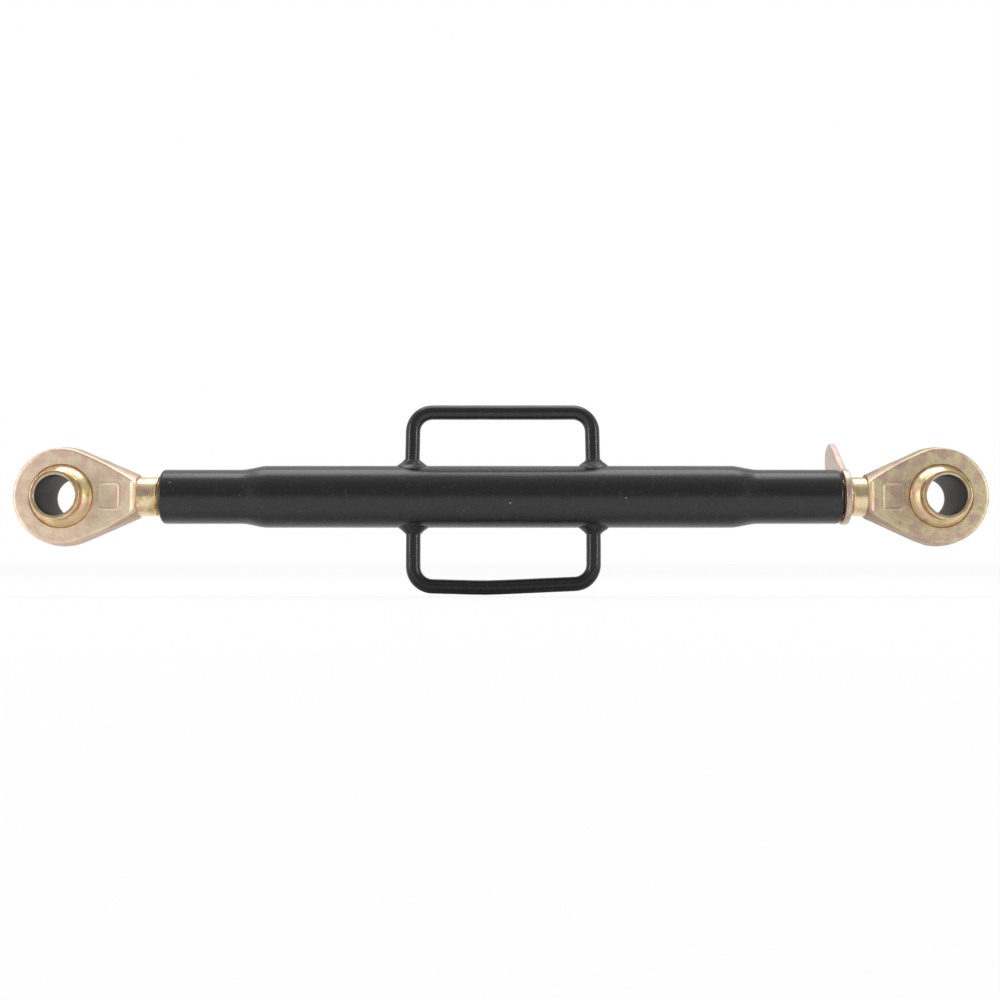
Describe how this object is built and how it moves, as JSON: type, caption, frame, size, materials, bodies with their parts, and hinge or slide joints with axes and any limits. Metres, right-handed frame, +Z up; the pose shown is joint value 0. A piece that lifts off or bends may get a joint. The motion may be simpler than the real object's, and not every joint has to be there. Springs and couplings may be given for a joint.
{
  "type": "tractor top link",
  "caption": "Turnbuckle link for a three-point hitch: swaged barrel with D-shaped bar handles, screwed rod ends with forged eyes and captured balls, and a lugged lock nut.",
  "frame": {"origin": "centre of the left ball, on the axis of its pin bore", "axes": "+X along the link from the left ball to the right one, +Y along the pin bores, away from the side the lock nut's lug leans from, +Z up"},
  "size_m": [0.6234, 0.07, 0.1222],
  "materials": {
    "black_paint": "semi-gloss black paint",
    "plated_forging": "as-forged steel, yellow zinc plated",
    "plated_ball": "turned steel, yellow zinc plated",
    "plated_nut": "punched plate, yellow zinc plated"
  },
  "bodies": {
    "left_ball": {"left_ball": "plated_ball"},
    "left_rod": {"left_rod_end": "plated_forging"},
    "nut": {"lock_nut": "plated_nut"},
    "barrel": {"barrel_tube": "black_paint", "handle_upper": "black_paint", "handle_lower": "black_paint", "weld_upper_left": "black_paint", "weld_upper_right": "black_paint", "weld_lower_left": "black_paint", "weld_lower_right": "black_paint"},
    "right_rod": {"right_rod_end": "plated_forging"},
    "right_ball": {"right_ball": "plated_ball"}
  },
  "joints": [
    {"name": "left_ball_tilt", "type": "hinge", "parent": "left_ball", "child": "left_rod", "pos_m": [0, 0, 0], "axis": [0, 0, 1], "range_deg": [-15, 15]},
    {"name": "nut_travel", "type": "slide", "parent": "left_rod", "child": "nut", "axis": [1, 0, 0], "range_m": [0, 0.11]},
    {"name": "barrel_turn", "type": "hinge", "parent": "nut", "child": "barrel", "pos_m": [0.28, 0, 0], "axis": [-1, 0, 0], "range_deg": [0, 13200]},
    {"name": "right_travel", "type": "slide", "parent": "nut", "child": "right_rod", "axis": [1, 0, 0], "range_m": [0, 0.11]},
    {"name": "right_ball_tilt", "type": "hinge", "parent": "right_rod", "child": "right_ball", "pos_m": [0.56, 0, 0], "axis": [0, 0, 1], "range_deg": [-15, 15]}
  ],
  "couplings": [
    {"joint": "nut_travel", "follows": "barrel_turn", "m_per_rad": 0.00047746},
    {"joint": "right_travel", "follows": "barrel_turn", "m_per_rad": 0.00047746}
  ]
}
